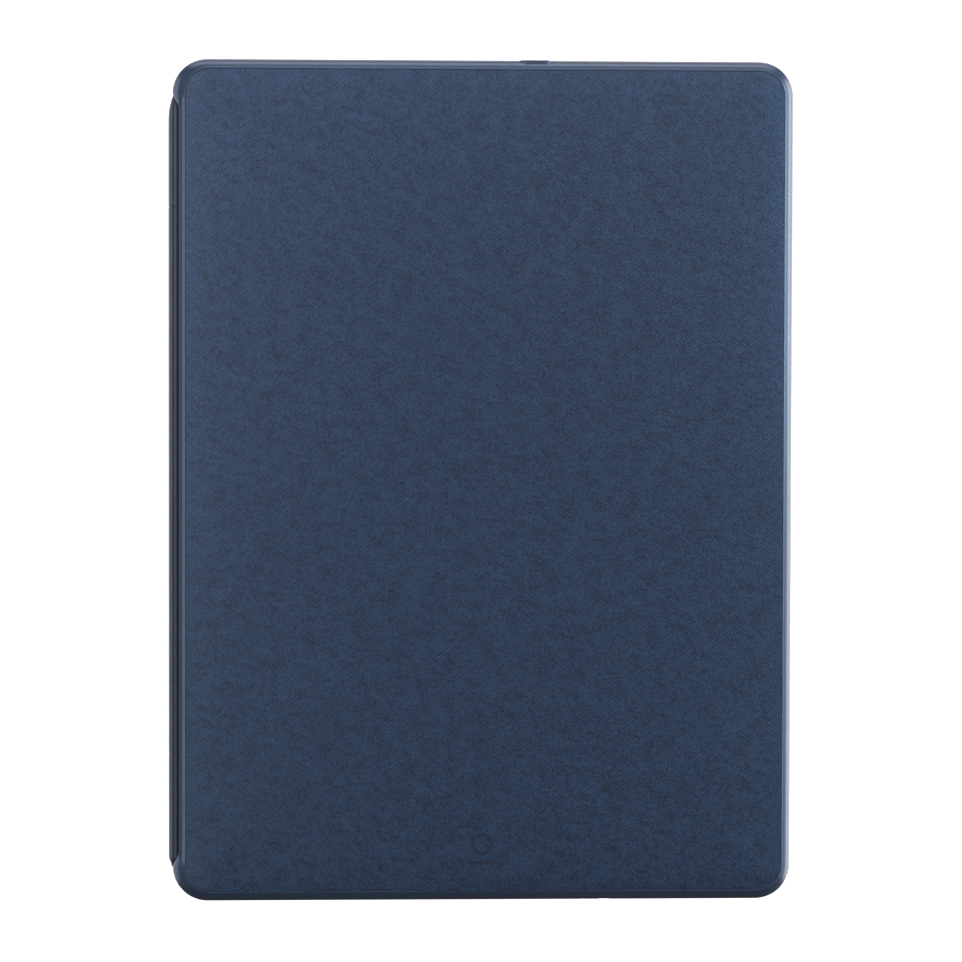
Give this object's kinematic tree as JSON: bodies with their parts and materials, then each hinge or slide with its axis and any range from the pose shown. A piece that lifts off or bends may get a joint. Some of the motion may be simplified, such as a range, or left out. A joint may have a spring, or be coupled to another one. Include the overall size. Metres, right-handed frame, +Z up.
{
  "type": "tablet keyboard case",
  "caption": "Closed clamshell keyboard case for a slate tablet: navy textured covers in smooth round rims, a barrel hinge along one edge, keys and trackpad inside.",
  "frame": {"origin": "centre of the closed case's footprint, on the surface that it lies on", "axes": "+Z up out of the keyboard half's outside cover, +Y along the hinge towards the typist's left, -X towards the hinge"},
  "size_m": [0.1872, 0.252, 0.018],
  "materials": {
    "cover_skin": "navy coated fabric with a fine diagonal twill grain, satin",
    "shell": "smooth navy moulding with a soft sheen",
    "bumper": "soft-touch navy elastomer",
    "button": "soft-touch navy elastomer, slightly smoother",
    "spine": "smooth dark navy, satin",
    "lining": "short-pile grey microfibre",
    "keyboard_frame": "fine spark-eroded texture",
    "key_cap": "matte coated caps",
    "trackpad": "etched, satin",
    "dark_plastic": "matte",
    "dome_rubber": "translucent grey silicone",
    "aluminium_plate": "rolled sheet",
    "board": "solder resist",
    "battery_pouch": "foil pouch cell",
    "light_pipe": "clear light pipe",
    "hinge_steel": "ground steel",
    "plated_steel": "nickel plated"
  },
  "bodies": {
    "tray": {"tray_back_skin": "cover_skin", "tray_shell": "shell", "tray_lining": "lining", "tray_bumper": "bumper", "camera_guard_ring": "bumper", "tray_leaf_left": "hinge_steel", "tray_leaf_right": "hinge_steel", "hinge_pin_left": "hinge_steel", "hinge_pin_right": "hinge_steel", "spine_sleeve_left": "spine", "spine_sleeve_right": "spine", "tray_leaf_screw_left": "hinge_steel", "tray_leaf_screw_right": "hinge_steel"},
    "deck": {"battery_left": "battery_pouch", "battery_right": "battery_pouch", "circuit_board": "board", "deck_frame": "keyboard_frame", "deck_leaf_left": "hinge_steel", "deck_leaf_right": "hinge_steel", "deck_leaf_screw_left": "hinge_steel", "deck_leaf_screw_right": "hinge_steel", "deck_magnet_left": "plated_steel", "deck_magnet_right": "plated_steel", "deck_pad_front_left": "bumper", "deck_pad_front_right": "bumper", "deck_pad_left": "bumper", "deck_pad_right": "bumper", "deck_shell": "shell", "deck_skin": "cover_skin", "dome_sheet": "dome_rubber", "key_support_plate": "aluminium_plate", "spine_sleeve_center": "spine", "status_light": "light_pipe", "usb_c_port": "plated_steel"},
    "power_button": {"power_button": "button"},
    "volume_up_button": {"volume_up_button": "button"},
    "volume_down_button": {"volume_down_button": "button"},
    "trackpad": {"trackpad": "trackpad"},
    "power_switch": {"power_switch": "dark_plastic"},
    "arrow_down_key": {"arrow_down_key": "key_cap"},
    "arrow_left_key": {"arrow_left_key": "key_cap"},
    "arrow_right_key": {"arrow_right_key": "key_cap"},
    "arrow_up_key": {"arrow_up_key": "key_cap"},
    "backspace_key": {"backspace_key": "key_cap"},
    "caps_lock_key": {"caps_lock_key": "key_cap"},
    "function_key_row": {"function_key_row": "key_cap"},
    "home_letter_row": {"home_letter_row": "key_cap"},
    "left_shift_key": {"left_shift_key": "key_cap"},
    "lower_letter_row": {"lower_letter_row": "key_cap"},
    "modifier_keys_left": {"modifier_keys_left": "key_cap"},
    "modifier_keys_right": {"modifier_keys_right": "key_cap"},
    "number_key_row": {"number_key_row": "key_cap"},
    "return_key": {"return_key": "key_cap"},
    "right_shift_key": {"right_shift_key": "key_cap"},
    "space_bar": {"space_bar": "key_cap"},
    "tab_key": {"tab_key": "key_cap"},
    "upper_letter_row": {"upper_letter_row": "key_cap"}
  },
  "joints": [
    {"name": "lid_hinge", "type": "hinge", "parent": "tray", "child": "deck", "pos_m": [-0.09125, 0, 0.0105], "axis": [0, -1, 0], "range_deg": [0, 135]},
    {"name": "power_button_press", "type": "slide", "parent": "tray", "child": "power_button", "axis": [0, -1, 0], "range_m": [0, 0.0004], "stiffness_N_per_m": 500, "springref_m": -0.0004},
    {"name": "volume_up_button_press", "type": "slide", "parent": "tray", "child": "volume_up_button", "axis": [-1, 0, 0], "range_m": [0, 0.0004], "stiffness_N_per_m": 500, "springref_m": -0.0004},
    {"name": "volume_down_button_press", "type": "slide", "parent": "tray", "child": "volume_down_button", "axis": [-1, 0, 0], "range_m": [0, 0.0004], "stiffness_N_per_m": 500, "springref_m": -0.0004},
    {"name": "arrow_down_key_press", "type": "slide", "parent": "deck", "child": "arrow_down_key", "axis": [0, 0, 1], "range_m": [0, 0.001], "stiffness_N_per_m": 250, "springref_m": -0.0006},
    {"name": "arrow_left_key_press", "type": "slide", "parent": "deck", "child": "arrow_left_key", "axis": [0, 0, 1], "range_m": [0, 0.001], "stiffness_N_per_m": 250, "springref_m": -0.0006},
    {"name": "arrow_right_key_press", "type": "slide", "parent": "deck", "child": "arrow_right_key", "axis": [0, 0, 1], "range_m": [0, 0.001], "stiffness_N_per_m": 250, "springref_m": -0.0006},
    {"name": "arrow_up_key_press", "type": "slide", "parent": "deck", "child": "arrow_up_key", "axis": [0, 0, 1], "range_m": [0, 0.001], "stiffness_N_per_m": 250, "springref_m": -0.0006},
    {"name": "backspace_key_press", "type": "slide", "parent": "deck", "child": "backspace_key", "axis": [0, 0, 1], "range_m": [0, 0.001], "stiffness_N_per_m": 250, "springref_m": -0.0006},
    {"name": "caps_lock_key_press", "type": "slide", "parent": "deck", "child": "caps_lock_key", "axis": [0, 0, 1], "range_m": [0, 0.001], "stiffness_N_per_m": 250, "springref_m": -0.0006},
    {"name": "function_key_row_press", "type": "slide", "parent": "deck", "child": "function_key_row", "axis": [0, 0, 1], "range_m": [0, 0.001], "stiffness_N_per_m": 250, "springref_m": -0.0006},
    {"name": "home_letter_row_press", "type": "slide", "parent": "deck", "child": "home_letter_row", "axis": [0, 0, 1], "range_m": [0, 0.001], "stiffness_N_per_m": 250, "springref_m": -0.0006},
    {"name": "left_shift_key_press", "type": "slide", "parent": "deck", "child": "left_shift_key", "axis": [0, 0, 1], "range_m": [0, 0.001], "stiffness_N_per_m": 250, "springref_m": -0.0006},
    {"name": "lower_letter_row_press", "type": "slide", "parent": "deck", "child": "lower_letter_row", "axis": [0, 0, 1], "range_m": [0, 0.001], "stiffness_N_per_m": 250, "springref_m": -0.0006},
    {"name": "modifier_keys_left_press", "type": "slide", "parent": "deck", "child": "modifier_keys_left", "axis": [0, 0, 1], "range_m": [0, 0.001], "stiffness_N_per_m": 250, "springref_m": -0.0006},
    {"name": "modifier_keys_right_press", "type": "slide", "parent": "deck", "child": "modifier_keys_right", "axis": [0, 0, 1], "range_m": [0, 0.001], "stiffness_N_per_m": 250, "springref_m": -0.0006},
    {"name": "number_key_row_press", "type": "slide", "parent": "deck", "child": "number_key_row", "axis": [0, 0, 1], "range_m": [0, 0.001], "stiffness_N_per_m": 250, "springref_m": -0.0006},
    {"name": "return_key_press", "type": "slide", "parent": "deck", "child": "return_key", "axis": [0, 0, 1], "range_m": [0, 0.001], "stiffness_N_per_m": 250, "springref_m": -0.0006},
    {"name": "right_shift_key_press", "type": "slide", "parent": "deck", "child": "right_shift_key", "axis": [0, 0, 1], "range_m": [0, 0.001], "stiffness_N_per_m": 250, "springref_m": -0.0006},
    {"name": "space_bar_press", "type": "slide", "parent": "deck", "child": "space_bar", "axis": [0, 0, 1], "range_m": [0, 0.001], "stiffness_N_per_m": 250, "springref_m": -0.0006},
    {"name": "tab_key_press", "type": "slide", "parent": "deck", "child": "tab_key", "axis": [0, 0, 1], "range_m": [0, 0.001], "stiffness_N_per_m": 250, "springref_m": -0.0006},
    {"name": "upper_letter_row_press", "type": "slide", "parent": "deck", "child": "upper_letter_row", "axis": [0, 0, 1], "range_m": [0, 0.001], "stiffness_N_per_m": 250, "springref_m": -0.0006},
    {"name": "trackpad_press", "type": "slide", "parent": "deck", "child": "trackpad", "axis": [0, 0, 1], "range_m": [0, 0.0003], "stiffness_N_per_m": 1200, "springref_m": -0.0003},
    {"name": "power_switch_slide", "type": "slide", "parent": "deck", "child": "power_switch", "axis": [1, 0, 0], "range_m": [0, 0.003]}
  ]
}
